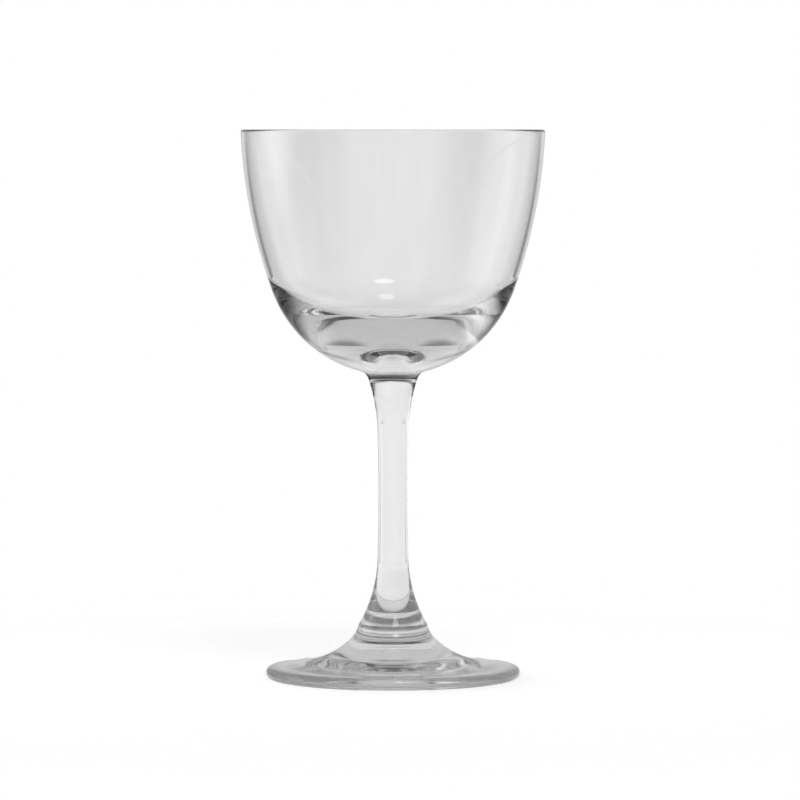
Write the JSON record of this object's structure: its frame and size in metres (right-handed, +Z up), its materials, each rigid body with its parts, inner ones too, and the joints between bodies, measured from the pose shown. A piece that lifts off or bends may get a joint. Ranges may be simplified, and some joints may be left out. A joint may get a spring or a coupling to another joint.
{
  "type": "nick and nora glass",
  "caption": "Small stemmed cocktail glass: a deep round-based bowl with a thin leaning wall, on a slender flared stem and a wide shallow foot, in clear glass.",
  "frame": {"origin": "on the axis of the glass, on the plane that its foot rests on", "axes": "+Z up along the axis of the glass, from the foot to the rim; the glass is round, so +X and +Y are alike"},
  "size_m": [0.0774, 0.0774, 0.14],
  "materials": {
    "clear_glass": "clear, fire-polished"
  },
  "bodies": {
    "root": {"foot": "clear_glass", "stem": "clear_glass", "bowl": "clear_glass"}
  },
  "joints": []
}
